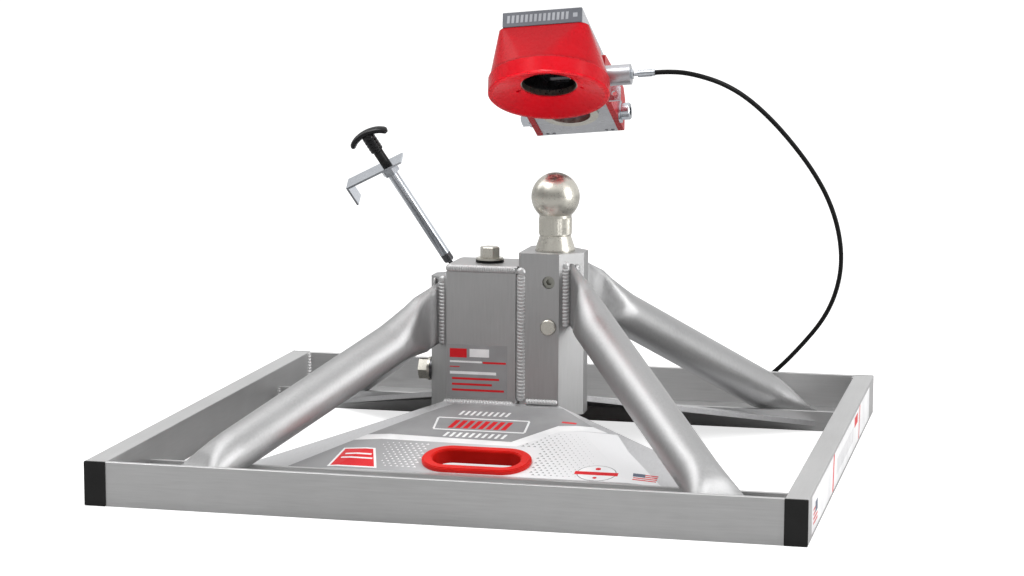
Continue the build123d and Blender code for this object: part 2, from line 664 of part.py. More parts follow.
clamp_axis = carried(coupler, (0, CLAMP_Y, CLAMP_H), (1, 0, 0), (0, 1, 0))
OUTER = BODY_HALF + SIDE_PLATE
with BuildPart() as clamp_bolt:
    disc(clamp_axis, -OUTER - 14, OUTER + 2.5, CLAMP_RADIUS)
    disc(clamp_axis, OUTER + 2.5, OUTER + 14.0, 10.8)
    chamfer(clamp_bolt.faces().filter_by(GeomType.PLANE).sort_by(Axis.X)[-1].edges(), 1.0)
    with BuildSketch(clamp_axis.offset(OUTER + 14.0)):
        RegularPolygon(5.2, 6, major_radius=False)
    extrude(amount=-7.0, mode=Mode.SUBTRACT)
finish(clamp_bolt, "clamp_bolt")
with BuildPart() as clamp_washers:
    disc(clamp_axis, OUTER, OUTER + 2.5, 14.2, CLAMP_RADIUS + 0.2)
    disc(clamp_axis, -OUTER - 2.5, -OUTER, 12.5, CLAMP_RADIUS + 0.2)
finish(clamp_washers, "clamp_washers")
with BuildPart() as clamp_nut:
    hexagon(clamp_axis, -OUTER - 12.5, -OUTER - 2.5, 19.0, CLAMP_RADIUS + 0.05)
finish(clamp_nut, "clamp_nut")

# Latch: a steel housing at the funnel's right side, with a sprung pin that crosses behind the ball's neck
with BuildPart() as latch_housing:
    disc(latch_axis, HOUSING_START, HOUSING_END, 12.5)
    disc(latch_axis, HOUSING_START - 1, HOUSING_END - 5.5, 8.0, mode=Mode.SUBTRACT)
    disc(latch_axis, HOUSING_END - 6, HOUSING_END + 1, 2.6, mode=Mode.SUBTRACT)
finish(latch_housing, "latch_housing")

LATCH_TIP = 20.0
LATCH_FLANGE = 67.0
with BuildPart() as latch_pin:
    disc(latch_axis, LATCH_TIP, LATCH_TIP + 1.5, 3.8)
    disc(latch_axis, LATCH_TIP + 1.5, LATCH_FLANGE, 5.0)
    disc(latch_axis, LATCH_FLANGE, LATCH_FLANGE + 3.5, 7.8)
    disc(latch_axis, LATCH_FLANGE + 3.5, HOUSING_END - 0.9, 2.1)
finish(latch_pin, "latch_pin")

with BuildPart() as latch_spring:
    with BuildLine():
        coil_start = latch_axis.from_local_coords(Vector(0, 0, LATCH_FLANGE + 4.5))
        coil = Helix(3.4, 16.4, 5.9, coil_start, latch_axis.z_dir)
    with BuildSketch(Plane(origin=coil @ 0, z_dir=coil % 0)):
        Circle(0.9)
    sweep(path=coil, is_frenet=True)
finish(latch_spring, "latch_spring")

with BuildPart() as latch_nut:
    hexagon(latch_axis, HOUSING_END + 0.1, HOUSING_END + 2.9, 10.0, 2.6)
finish(latch_nut, "latch_nut")

with BuildPart() as latch_bracket:
    with BuildSketch(carried(coupler, (OUTER + 7.6, 84, 34.5), (0, -1, 0))):
        RectangleRounded(15.2, 19, 1.5)
        Circle(3.4, mode=Mode.SUBTRACT)
    extrude(amount=-3.0)
    with BuildSketch(carried(coupler, (OUTER, 90, 36.0), (1, 0, 0), (0, 1, 0))):
        Rectangle(12, 10)
    extrude(amount=3.0)
finish(latch_bracket, "latch_bracket")

with BuildPart() as cable_ferrule:
    disc(latch_axis, PIVOT_X + 0.4, PIVOT_X + 5.0, 2.7)
    disc(latch_axis, PIVOT_X + 5.0, FERRULE_END - 4.0, 4.5)
    disc(latch_axis, FERRULE_END - 4.0, FERRULE_END, 3.9)
finish(cable_ferrule, "cable_ferrule")

# ---------------------------------------------------------------- remote handle
handle = Plane(origin=Vector(*HANDLE_END), x_dir=Vector(*HANDLE_ACROSS), z_dir=Vector(*HANDLE_UP))
with BuildPart() as handle_tube:
    disc(handle, 12.0, HANDLE_TUBE_LENGTH, HANDLE_TUBE_RADIUS, 3.1)
    disc(handle, 0.0, 12.0, HANDLE_TUBE_RADIUS - 0.7, 3.1)
finish(handle_tube, "handle_tube")

with BuildPart() as handle_nut:
    hexagon(handle, HANDLE_TUBE_LENGTH, HANDLE_TUBE_LENGTH + 10.5, 20.0, 5.2)
finish(handle_nut, "handle_nut")

BRACKET_LOW = HANDLE_TUBE_LENGTH + 10.5
BRACKET_THICKNESS = 2.6
BRACKET_WIDTH = 26.0
BRACKET_REACH = 58.0
handle_side = carried(handle, (0, 0, 0), (0, -1, 0), (1, 0, 0))
with BuildPart() as handle_bracket:
    with BuildSketch(handle_side.offset(-BRACKET_WIDTH / 2)):
        Polygon(
            (-22, BRACKET_LOW),
            (BRACKET_REACH - BRACKET_THICKNESS, BRACKET_LOW),
            (BRACKET_REACH - BRACKET_THICKNESS, BRACKET_LOW - 24.5),
            (BRACKET_REACH, BRACKET_LOW - 24.5),
            (BRACKET_REACH, BRACKET_LOW + BRACKET_THICKNESS),
            (-22, BRACKET_LOW + BRACKET_THICKNESS),
            align=None,
        )
    extrude(amount=BRACKET_WIDTH)
    disc(handle, BRACKET_LOW - 5, BRACKET_LOW + 5, 5.3, mode=Mode.SUBTRACT)
finish(handle_bracket, "handle_bracket")

COLLAR_TOP = 176.0
COLLAR_RADIUS = 6.2
STEM_RADIUS = 8.4
with BuildPart() as handle_collar:
    disc(handle, HANDLE_TUBE_LENGTH + 0.2, BRACKET_LOW, 5.0, 3.1)
    disc(handle, BRACKET_LOW + BRACKET_THICKNESS - 2.6, COLLAR_TOP - 1.0, 5.0, 3.1)
    disc(handle, BRACKET_LOW + BRACKET_THICKNESS, COLLAR_TOP, COLLAR_RADIUS, 3.1)
finish(handle_collar, "handle_collar")

with BuildPart() as t_handle:
    disc(handle, COLLAR_TOP + 1.0, 206.0, STEM_RADIUS, COLLAR_RADIUS + 0.3)
    with BuildSketch(handle_side.offset(-8)):
        with BuildLine():
            ThreePointArc((-27, 198), (0, 209), (27, 198))
            Line((27, 198), (24, 191))
            ThreePointArc((24, 191), (0, 201), (-24, 191))
            Line((-24, 191), (-27, 198))
        make_face()
    extrude(amount=16)
    disc(handle, 199.0, 204.0, STEM_RADIUS)
finish(t_handle, "t_handle")

with BuildPart() as handle_rod:
    disc(handle, 60.0, 199.0, 2.6)
finish(handle_rod, "handle_rod")

# ---------------------------------------------------------------- release cable
ferrule_face = latch_axis.from_local_coords(Vector(0, 0, FERRULE_END))
handle_mouth = Vector(*HANDLE_END)
route = [ferrule_face, ferrule_face + coupler.x_dir * 24] + [Vector(*point) for point in CABLE_ROUTE]
route += [handle_mouth - Vector(*HANDLE_UP) * 29, handle_mouth]
runs = [(b - a).length for a, b in zip(route, route[1:])]
turns = [radians((b - a).get_angle(c - b)) for a, b, c in zip(route, route[1:], route[2:])]
bend_radii = [0.45 * min(runs[i], runs[i + 1]) / tan(turn / 2) for i, turn in enumerate(turns)]
with BuildPart() as release_cable:
    with BuildLine() as cable_line:
        FilletPolyline(*route, radius=bend_radii)
    cable_path = cable_line.wires()[0]
    with BuildSketch(Plane(origin=cable_path @ 0, z_dir=cable_path % 0)):
        Circle(CABLE_DIAMETER / 2)
    sweep(path=cable_path)
finish(release_cable, "release_cable")

cable_length = cable_path.length
tube_volume = release_cable.part.volume
print("cable length", round(cable_length), "mm, runs", [round(run) for run in runs])
print("bend radii", [round(radius) for radius in bend_radii])
print("tube volume", round(tube_volume), "section x length", round(pi * CABLE_DIAMETER**2 / 4 * cable_length))
pivot_point = latch_axis.from_local_coords(Vector(0, 0, PIVOT_X))
seated_pivot = Vector(BALL_X + PIVOT_X, LATCH_Y, BALL_Z - SEAT_HEIGHT + LATCH_H)
drop = seated_pivot - pivot_point
print("pivot", pivot_point, "drop", drop, drop.length, "axis", drop.normalized())
print("coupler axes", coupler.x_dir, coupler.y_dir, coupler.z_dir)
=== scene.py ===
"""Looks for the fifth wheel hitch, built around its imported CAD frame. Metres, +Z up."""

from math import ceil, cos, pi, radians, sin, sqrt

import bmesh
import bpy
from mathutils import Matrix, Vector


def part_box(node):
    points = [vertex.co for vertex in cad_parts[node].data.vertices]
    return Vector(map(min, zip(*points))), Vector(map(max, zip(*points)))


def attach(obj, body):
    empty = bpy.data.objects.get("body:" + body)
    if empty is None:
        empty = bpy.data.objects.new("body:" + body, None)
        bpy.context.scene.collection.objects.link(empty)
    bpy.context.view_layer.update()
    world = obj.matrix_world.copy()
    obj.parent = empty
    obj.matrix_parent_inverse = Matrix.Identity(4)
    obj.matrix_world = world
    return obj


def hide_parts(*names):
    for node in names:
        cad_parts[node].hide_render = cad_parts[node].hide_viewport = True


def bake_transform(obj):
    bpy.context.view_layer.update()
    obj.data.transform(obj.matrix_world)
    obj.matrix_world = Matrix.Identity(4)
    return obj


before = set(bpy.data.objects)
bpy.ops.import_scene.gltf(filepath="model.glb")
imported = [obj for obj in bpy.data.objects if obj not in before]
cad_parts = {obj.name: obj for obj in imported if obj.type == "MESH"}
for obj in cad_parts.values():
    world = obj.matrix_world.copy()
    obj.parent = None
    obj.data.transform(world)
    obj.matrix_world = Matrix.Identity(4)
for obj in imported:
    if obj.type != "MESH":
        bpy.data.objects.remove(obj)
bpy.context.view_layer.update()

MM = 0.001

# ---------------------------------------------------------------- camera and lights
CAMERA_PLACE = (0.69541, -3.01892, 0.65801)
CAMERA_HEADING, CAMERA_DIP, CAMERA_ROLL = 13.011, 8.268, 0.196

scene = bpy.context.scene
scene.view_settings.view_transform = "Standard"

camera_data = bpy.data.cameras.new("camera")
camera_data.lens = 90.21
camera_data.sensor_width = 36.0
camera_data.clip_end = 60.0
camera = bpy.data.objects.new("camera", camera_data)
scene.collection.objects.link(camera)
scene.camera = camera
camera.matrix_world = (
    Matrix.Translation(CAMERA_PLACE)
    @ Matrix.Rotation(radians(CAMERA_HEADING), 4, "Z")
    @ Matrix.Rotation(radians(90 - CAMERA_DIP), 4, "X")
    @ Matrix.Rotation(radians(CAMERA_ROLL), 4, "Z")
)


def soft_light(name, place, aim, size, power, spread=180):
    """A rectangular area light, hidden from the camera, from place towards aim. Spread is in degrees."""
    data = bpy.data.lights.new(name, "AREA")
    data.shape = "RECTANGLE"
    data.size, data.size_y = size
    data.energy = power
    data.spread = radians(spread)
    light = bpy.data.objects.new(name, data)
    light.visible_camera = False
    scene.collection.objects.link(light)
    direction = Vector(aim) - Vector(place)
    light.matrix_world = Matrix.Translation(place) @ direction.to_track_quat("-Z", "Y").to_matrix().to_4x4()
    return light


soft_light("key_light", (-1.2, -1.0, 3.0), (0, 0, 0.2), (1.6, 1.6), 34)
soft_light("right_light", (2.6, -0.5, 1.0), (0, 0, 0.15), (1.2, 2.0), 38)
soft_light("left_light", (-2.4, 0.3, 2.2), (0, 0, 0.2), (0.8, 1.6), 9)
# In the photograph the coupler has its own light, so its red parts get a narrow fill that lights nothing else
coupler_light = soft_light("coupler_light", (0.10, -0.85, 0.04), (0.05, 0.0, 0.49), (0.16, 0.16), 0.20,
                           spread=16)
red_parts = bpy.data.collections.new("red_parts")
for red_part in ("guide_funnel", "left_side_plate", "right_side_plate"):
    red_parts.objects.link(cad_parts[red_part])
coupler_light.light_linking.receiver_collection = red_parts

# White all round and overhead, dimmer towards the front, as in a tent open on the camera's side
BACKDROP_BRIGHTNESS = 1.1
world = bpy.data.worlds.new("studio")
world.use_nodes = True
scene.world = world
sky = world.node_tree


def sky_node(kind, **values):
    """A node of the world's tree, with its operation and its unlinked inputs set."""
    node = sky.nodes.new(kind)
    for name, value in values.items():
        if name == "operation":
            node.operation = value
        else:
            node.inputs[name.replace("_", " ")].default_value = value
    return node


sky_axes = sky_node("ShaderNodeSeparateXYZ")
sky.links.new(sky.nodes.new("ShaderNodeTexCoord").outputs["Generated"], sky_axes.inputs["Vector"])
from_front = sky_node("ShaderNodeMapRange", From_Min=-0.65, From_Max=0.05, To_Min=0.36, To_Max=0.95)
from_above = sky_node("ShaderNodeMapRange", From_Min=0.25, From_Max=0.75, To_Min=0.0, To_Max=1.15)
from_left = sky_node("ShaderNodeMapRange", From_Min=-0.95, From_Max=-0.3, To_Min=0.5, To_Max=1.0)
sideways = sky_node("ShaderNodeMath", operation="MULTIPLY")
brightest = sky_node("ShaderNodeMath", operation="MAXIMUM")
backdrop = sky_node("ShaderNodeMath", operation="MULTIPLY")
backdrop.inputs[1].default_value = BACKDROP_BRIGHTNESS
brightest_seen = sky_node("ShaderNodeMath", operation="MAXIMUM")
sky.links.new(sky_axes.outputs["Y"], from_front.inputs["Value"])
sky.links.new(sky_axes.outputs["Z"], from_above.inputs["Value"])
sky.links.new(sky_axes.outputs["X"], from_left.inputs["Value"])
sky.links.new(from_front.outputs["Result"], sideways.inputs[0])
sky.links.new(from_left.outputs["Result"], sideways.inputs[1])
sky.links.new(sideways.outputs["Value"], brightest.inputs[0])
sky.links.new(from_above.outputs["Result"], brightest.inputs[1])
sky.links.new(sky_node("ShaderNodeLightPath").outputs["Is Camera Ray"], backdrop.inputs[0])
sky.links.new(brightest.outputs["Value"], brightest_seen.inputs[0])
sky.links.new(backdrop.outputs["Value"], brightest_seen.inputs[1])
sky.links.new(brightest_seen.outputs["Value"], sky.nodes["Background"].inputs["Strength"])
sky.nodes["Background"].inputs["Color"].default_value = (1, 1, 1, 1)

# ---------------------------------------------------------------- materials


class Look:
    """A procedural material: one Principled shader, with textures in the piece's own coordinates."""

    def __init__(self, name, metallic=0.0, roughness=0.5, **constants):
        self.material = bpy.data.materials.new(name)
        self.material.use_nodes = True
        self.tree = self.material.node_tree
        self.shader = self.tree.nodes["Principled BSDF"]
        self.shader.inputs["Metallic"].default_value = metallic
        self.shader.inputs["Roughness"].default_value = roughness
        for socket, value in constants.items():
            self.shader.inputs[socket.replace("_", " ")].default_value = value
        self.coordinates = self.tree.nodes.new("ShaderNodeTexCoord").outputs["Object"]

    def link(self, source, target):
        self.tree.links.new(source, target)

    def noise(self, scale, stretch=(1, 1, 1), detail=3.0, roughness=0.55, seed=0.0):
        """Noise, finer along the axes with the larger stretch."""
        mapping = self.tree.nodes.new("ShaderNodeMapping")
        mapping.inputs["Scale"].default_value = stretch
        mapping.inputs["Location"].default_value = (seed, seed, seed)
        self.link(self.coordinates, mapping.inputs["Vector"])
        texture = self.tree.nodes.new("ShaderNodeTexNoise")
        texture.inputs["Scale"].default_value = scale
        texture.inputs["Detail"].default_value = detail
        texture.inputs["Roughness"].default_value = roughness
        self.link(mapping.outputs["Vector"], texture.inputs["Vector"])
        return texture.outputs["Fac"]

    def ramp(self, factor, *stops):
        """Colours at places from 0 to 1."""
        node = self.tree.nodes.new("ShaderNodeValToRGB")
        elements = node.color_ramp.elements
        while len(elements) < len(stops):
            elements.new(0.5)
        for element, (place, colour) in zip(elements, stops):
            element.position = place
            element.color = (*colour, 1) if isinstance(colour, tuple) else (colour, colour, colour, 1)
        self.link(factor, node.inputs["Fac"])
        return node.outputs["Color"]

    def spread(self, factor, low, high, start=0.3, end=0.7):
        """Maps start ... end of the factor to low ... high."""
        node = self.tree.nodes.new("ShaderNodeMapRange")
        node.inputs["From Min"].default_value = start
        node.inputs["From Max"].default_value = end
        node.inputs["To Min"].default_value = low
        node.inputs["To Max"].default_value = high
        self.link(factor, node.inputs["Value"])
        return node.outputs["Result"]

    def mix(self, factor, first, second):
        """First where the factor is 0, second where it is 1. Each is a colour or a node's output."""
        node = self.tree.nodes.new("ShaderNodeMix")
        node.data_type = "RGBA"
        self.link(factor, node.inputs[0])
        for socket, value in ((node.inputs[6], first), (node.inputs[7], second)):
            if isinstance(value, tuple):
                socket.default_value = (*value, 1)
            else:
                self.link(value, socket)
        return node.outputs[2]

    def colour(self, source):
        self.link(source, self.shader.inputs["Base Color"])

    def rough(self, source):
        self.link(source, self.shader.inputs["Roughness"])

    def bump(self, *layers):
        """Stacks bump layers: (height, distance in metres)."""
        previous = None
        for height, distance in layers:
            node = self.tree.nodes.new("ShaderNodeBump")
            node.inputs["Distance"].default_value = distance
            self.link(height, node.inputs["Height"])
            if previous:
                self.link(previous, node.inputs["Normal"])
            previous = node.outputs["Normal"]
        self.link(previous, self.shader.inputs["Normal"])


# A grain's stretch along x, y and z. It runs along the axis with the smallest value, and here along none
EVEN = (1, 1, 1)


def toned(colour, share, extra=0.0):
    """A colour made lighter or darker, kept within 1."""
    return tuple(min(1, share * part + extra) for part in colour)


def brushed_metal(name, dark, light, roughness, grain, metallic=0.85, depth=0.00006, rounding=0.0):
    """Metal with a fine directional grain, soft tone changes and faint stains.

    Rounding is the radius, in metres, over which pressed creases look soft.
    """
    look = Look(name, metallic=metallic)
    fine = look.noise(420, stretch=grain, detail=2.0)
    cloud = look.noise(9, detail=4.0, seed=3.1)
    tone = look.ramp(cloud, (0.3, dark), (0.7, light))
    streak = look.ramp(fine, (0.25, toned(dark, 0.86)), (0.75, toned(light, 1.06)))
    share = look.spread(look.noise(30, detail=2.0, seed=7.7), 0.25, 0.5)
    look.colour(look.mix(share, tone, streak))
    look.rough(look.spread(fine, roughness - 0.05, roughness + 0.07))
    look.bump((fine, depth))
    if rounding:
        creases = look.tree.nodes.new("ShaderNodeBevel")
        creases.inputs["Radius"].default_value = rounding
        look.link(creases.outputs["Normal"], look.tree.nodes["Bump"].inputs["Normal"])
    return look.material


def steel(name, dark, light, roughness, depth):
    """Steel or plating: fully metallic, with a grain that has no direction."""
    return brushed_metal(name, dark, light, roughness, EVEN, metallic=1.0, depth=depth)


def plastic(name, colour, roughness, grain_scale=900, depth=0.00008, **constants):
    """Moulded plastic or rubber with a fine pebble grain and slight tone changes."""
    look = Look(name, **constants)
    pebble = look.noise(grain_scale, detail=2.0)
    cloud = look.noise(25, detail=3.0, seed=1.7)
    look.colour(look.ramp(cloud, (0.35, colour), (0.75, toned(colour, 1.25, 0.004))))
    look.rough(look.spread(pebble, roughness - 0.06, roughness + 0.08))
    look.bump((pebble, depth))
    return look.material


def ink(name, colour, roughness=0.40, **constants):
    """A printed film: plastic with a very fine grain."""
    return plastic(name, colour, roughness, 1200, 0.00002, **constants)


def paint(name, colour, dark, roughness, coat):
    """Glossy powder coat with orange peel and a few dull specks."""
    look = Look(name, Coat_Weight=coat, Coat_Roughness=0.12, Specular_IOR_Level=0.12)
    peel = look.noise(160, detail=2.0)
    specks = look.noise(700, detail=1.0, seed=5.0)
    cloud = look.noise(14, detail=3.0)
    base = look.ramp(cloud, (0.3, dark), (0.65, colour))
    look.colour(look.mix(look.ramp(specks, (0.70, 0.0), (0.78, 0.12)), base, dark))
    look.rough(look.spread(peel, roughness - 0.05, roughness + 0.1))
    look.bump((peel, 0.00012), (specks, 0.00004))
    return look.material


rail_metal = brushed_metal("rail_aluminium", (0.50, 0.50, 0.50), (0.58, 0.58, 0.58), 0.42, (1, 0.05, 1))
pan_metal = brushed_metal("pan_aluminium", (0.52, 0.52, 0.52), (0.60, 0.60, 0.60), 0.42, (0.05, 1, 1))
leg_metal = brushed_metal("leg_aluminium", (0.37, 0.37, 0.372), (0.43, 0.43, 0.432), 0.38, (1, 1, 0.4),
                          depth=0.00003, rounding=0.014)
core_metal = brushed_metal("core_aluminium", (0.40, 0.40, 0.40), (0.46, 0.46, 0.46), 0.42, (1, 1, 0.06))
block_metal = brushed_metal("block_aluminium", (0.46, 0.47, 0.49), (0.58, 0.59, 0.62), 0.30, (0.06, 1, 1),
                            depth=0.00001)
plate_metal = brushed_metal("plate_aluminium", (0.62, 0.62, 0.63), (0.72, 0.72, 0.73), 0.38, (1, 0.2, 1))
weld_metal = brushed_metal("weld_aluminium", (0.50, 0.50, 0.50), (0.60, 0.60, 0.60), 0.50, EVEN,
                           depth=0.00004)
aged_steel = steel("aged_steel", (0.26, 0.26, 0.23), (0.40, 0.40, 0.36), 0.34, 0.00002)
nickel = steel("nickel_steel", (0.56, 0.54, 0.485), (0.66, 0.64, 0.575), 0.31, 0.00001)
zinc = steel("zinc_steel", (0.50, 0.53, 0.58), (0.72, 0.75, 0.79), 0.17, 0.00002)
dark_steel = steel("dark_steel", (0.09, 0.09, 0.095), (0.17, 0.17, 0.18), 0.30, 0.00003)
black_plastic = plastic("black_plastic", (0.008, 0.008, 0.008), 0.42, Specular_IOR_Level=0.3)
grip_plastic = plastic("grip_plastic", (0.004, 0.004, 0.005), 0.20, 1200, 0.00002, Specular_IOR_Level=0.35)
black_rubber = plastic("black_rubber", (0.003, 0.003, 0.003), 0.40, 1400, 0.00004, Specular_IOR_Level=0.15)
red_rubber = plastic("red_rubber", (0.64, 0.010, 0.006), 0.38, 600, 0.00006, Specular_IOR_Level=0.3)
red_paint = paint("red_paint", (0.46, 0.002, 0.008), (0.38, 0.001, 0.006), 0.26, 0.04)
print_mid = ink("print_mid_grey", (0.27, 0.27, 0.275))
print_pale = ink("print_pale_grey", (0.58, 0.58, 0.59))
print_white = ink("print_white", (0.80, 0.80, 0.81), 0.36)
print_red = ink("print_red", (0.62, 0.012, 0.018), 0.36, Specular_IOR_Level=0.2)
print_navy = ink("print_navy", (0.08, 0.10, 0.15))
label_grey = ink("label_grey", (0.085, 0.092, 0.112), 0.35)
label_marks = ink("label_marks", (0.34, 0.35, 0.38))

NODE_LOOKS = {
    rail_metal: ["left_side_rail", "right_side_rail"],
    pan_metal: ["front_channel", "rear_channel"],
    plate_metal: ["front_gusset_plate", "rear_gusset_plate"],
    leg_metal: ["front_left_leg", "front_right_leg", "rear_left_leg", "rear_right_leg"],
    core_metal: ["tower_housing", "tower_floor", "tower_lid", "ball_post"],
    block_metal: ["coupler_block", "kingpin_plate", "latch_housing"],
    nickel: ["socket_ring", "kingpin_ring", "hitch_ball", "post_pin", "top_bolt", "left_side_bolt",
             "rear_side_bolt", "latch_pin"],
    zinc: ["handle_tube", "handle_nut", "handle_bracket", "handle_rod", "cable_ferrule", "latch_nut",
           "latch_bracket", "clamp_bolt", "clamp_washers", "clamp_nut"],
    aged_steel: ["height_lock_screw"],
    dark_steel: ["gooseneck_socket", "left_side_washer", "rear_side_washer",
                 "socket_block", "ball_seat", "latch_spring"],
    black_plastic: ["rail_end_caps", "handle_collar", "t_handle"],
    black_rubber: ["top_bolt_washer", "release_cable"],
    red_rubber: ["hand_slot_grommet"],
    red_paint: ["guide_funnel", "left_side_plate", "right_side_plate"],
    label_grey: ["coupler_label_plate"],
}
for look, node_names in NODE_LOOKS.items():
    for node_name in node_names:
        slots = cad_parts[node_name].data.materials
        slots.clear()
        slots.append(look)


# ---------------------------------------------------------------- mesh helpers
def piece_from(name, mesh_builder, material, body):
    """Turns a bmesh into an object with its material and slot, carried by a body when one is given."""
    mesh = bpy.data.meshes.new(name)
    bmesh.ops.recalc_face_normals(mesh_builder, faces=mesh_builder.faces)
    mesh_builder.to_mesh(mesh)
    mesh_builder.free()
    mesh.materials.append(material)
    piece = bpy.data.objects.new(name, mesh)
    scene.collection.objects.link(piece)
    if body:
        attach(piece, body)
    return piece


def skin_rings(builder, rings, closed_ends=True):
    """Joins rings of points with quads. Every ring has as many points as the next."""
    loops = [[builder.verts.new(point) for point in ring] for ring in rings]
    for first, second in zip(loops, loops[1:]):
        count = len(first)
        for i in range(count):
            j = (i + 1) % count
            builder.faces.new((first[i], first[j], second[j], second[i])).smooth = True
    if closed_ends:
        builder.faces.new(loops[0][::-1])
        builder.faces.new(loops[-1])


# ---------------------------------------------------------------- release cable
# Directions and ends of the tilted coupler and the leaning handle, and the route in millimetres
coupler_right = Vector((0.996069, 0.020705, 0.086127))
ferrule_face = Vector((0.166215, 0.031266, 0.471306))
handle_mouth = Vector((-0.112, 0.120, 0.223))
handle_up = Vector((-0.4200, -0.4000, 0.8146)).normalized()
CABLE_ROUTE = [
    (219, 41, 468), (247, 59, 457), (272, 83, 439),
    (298, 112, 411), (322, 142, 378), (343, 174, 343), (360, 208, 304),
    (370, 243, 260), (371, 279, 214), (361, 312, 170), (342, 343, 130),
    (312, 371, 91), (279, 393, 54), (243, 402, 22), (203, 400, 4),
    (150, 397, 3.2), (98, 402, 3.2), (50, 398, 3.2), (14, 401, 8),
    (-12, 405, 26), (-26, 402, 50), (-33, 387, 70), (-37, 360, 79),
    (-39, 324, 80), (-42, 280, 88), (-48, 236, 107), (-61, 194, 135), (-78, 155, 168),
]
route = [ferrule_face, ferrule_face + coupler_right * 0.024]
route += [Vector(point) * MM for point in CABLE_ROUTE]
route += [handle_mouth - handle_up * 0.029, handle_mouth]


def nurbs_line(points):
    """Points along the smooth curve that has the route as its control points."""
    curve = bpy.data.curves.new("route", "CURVE")
    curve.dimensions = "3D"
    curve.resolution_u = 12
    spline = curve.splines.new("NURBS")
    spline.points.add(len(points) - 1)
    for control, point in zip(spline.points, points):
        control.co = (*point, 1)
    spline.order_u = 3
    spline.use_endpoint_u = True
    holder = bpy.data.objects.new("route", curve)
    scene.collection.objects.link(holder)
    bpy.context.view_layer.update()
    line_mesh = bpy.data.meshes.new_from_object(holder)
    line = [vertex.co.copy() for vertex in line_mesh.vertices]
    bpy.data.objects.remove(holder)
    bpy.data.meshes.remove(line_mesh)
    return line


def tube_along(line, radius, sides=14):
    """Rings of a round tube that follows the line without twisting."""
    rings = []
    side = None
    for i, point in enumerate(line):
        ahead = (line[min(i + 1, len(line) - 1)] - line[max(i - 1, 0)]).normalized()
        side = ahead.orthogonal() if side is None else side - ahead * side.dot(ahead)
        side.normalize()
        up = ahead.cross(side)
        angles = [2 * pi * k / sides for k in range(sides)]
        rings.append([point + (side * cos(a) + up * sin(a)) * radius for a in angles])
    return rings


cable_line = nurbs_line(route)
cable_builder = bmesh.new()
skin_rings(cable_builder, tube_along(cable_line, 0.003))
cable = piece_from("cable_jacket", cable_builder, black_rubber, None)
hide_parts("release_cable")
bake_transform(cable)

# ---------------------------------------------------------------- weld beads
RIPPLE_STEPS = 6
ARC_STEPS = 10
CRESCENT = 0.9
WIDTH_SWING, HEIGHT_SWING = 0.07, 0.48
END_SWELL = 0.25
SUNK = 0.0008
CRATER_SHARES = (1.0, 0.93, 0.78, 0.6, 0.42, 0.22)
CRATER_DISH = 0.86


def weld_bead(name, start, end, outward, width=0.0095, height=0.003, pitch=0.0042):
    """A closed bead of overlapping crescent ripples from start to end, with rounded ends."""
    total = (end - start).length
    along = (end - start).normalized()
    out = (outward - along * outward.dot(along)).normalized()
    side = along.cross(out)
    count = max(8, ceil(total / pitch * RIPPLE_STEPS))
    rings = []
    for i in range(count + 1):
        travelled = total * i / count
        centre = start + along * travelled
        to_end = min(1.0, min(travelled, total - travelled) / (width / 2))
        swell = END_SWELL + (1 - END_SWELL) * sqrt(max(0.0, 1 - (1 - to_end) ** 2))
        ring = []
        for k in range(ARC_STEPS + 1):
            angle = pi * k / ARC_STEPS
            phase = travelled / pitch + CRESCENT * sin(angle)
            ripple = abs(sin(pi * phase)) ** 0.6
            half = width / 2 * swell * (1 - WIDTH_SWING * (1 - ripple))
            lift = height * swell * (1 - HEIGHT_SWING * (1 - ripple)) * sin(angle)
            ring.append(centre + side * (half * cos(angle)) + out * (lift + 0.0001))
        for edge in (-1, 1):
            ring.append(centre + side * (edge * width * 0.3 * swell) - out * SUNK)
        rings.append(ring)
    builder = bmesh.new()
    skin_rings(builder, rings)
    return piece_from(name, builder, weld_metal, "root")


def upright_bead(name, x, y, low, high, outward, **shape):
    """A bead that goes straight up."""
    return weld_bead(name, Vector((x, y, low)), Vector((x, y, high)), outward, **shape)


def level_bead(name, left, right, y, z, outward, **shape):
    """A bead that runs to the right."""
    return weld_bead(name, Vector((left, y, z)), Vector((right, y, z)), outward, **shape)


def weld_crater(name, centre, outward, radius, height):
    """The round blob where a bead ends, with its middle dished."""
    out = outward.normalized()
    side = out.orthogonal().normalized()
    up = out.cross(side)
    angles = [2 * pi * k / 24 for k in range(24)]
    rings = []
    for share in CRATER_SHARES:
        level = height * (1 - share**2) * (1.0 if share > 0.4 else CRATER_DISH)
        wobble = [1 + 0.04 * sin(3 * a + share * 4) for a in angles]
        rings.append([centre + (side * cos(a) + up * sin(a)) * (radius * share * w) + out * level
                      for a, w in zip(angles, wobble)])
    rings.insert(0, [point - out * (height * 0.3 + SUNK) for point in rings[0]])
    builder = bmesh.new()
    skin_rings(builder, rings)
    return piece_from(name, builder, weld_metal, "root")


def corner_tag(x_sign, y_sign):
    """r or l for right or left, then f or b for front or back."""
    return ("r" if x_sign > 0 else "l") + ("f" if y_sign < 0 else "b")


CHAMFER = 0.0254
SEAM_TOP = 0.232
LID_INSET = 0.001
LID_DROP = 0.0042
BLADE_HALF = 0.0086
LIP_TOP = 0.0254

tower_low, tower_high = (Vector(corner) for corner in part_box("tower_housing"))
post_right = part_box("ball_post")[1][0]
lid_low, lid_high = (Vector(corner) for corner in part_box("tower_lid"))
core_half = tower_high.y
plate_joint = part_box("front_gusset_plate")[1][2]
seam_x = tower_high.x + 0.0038

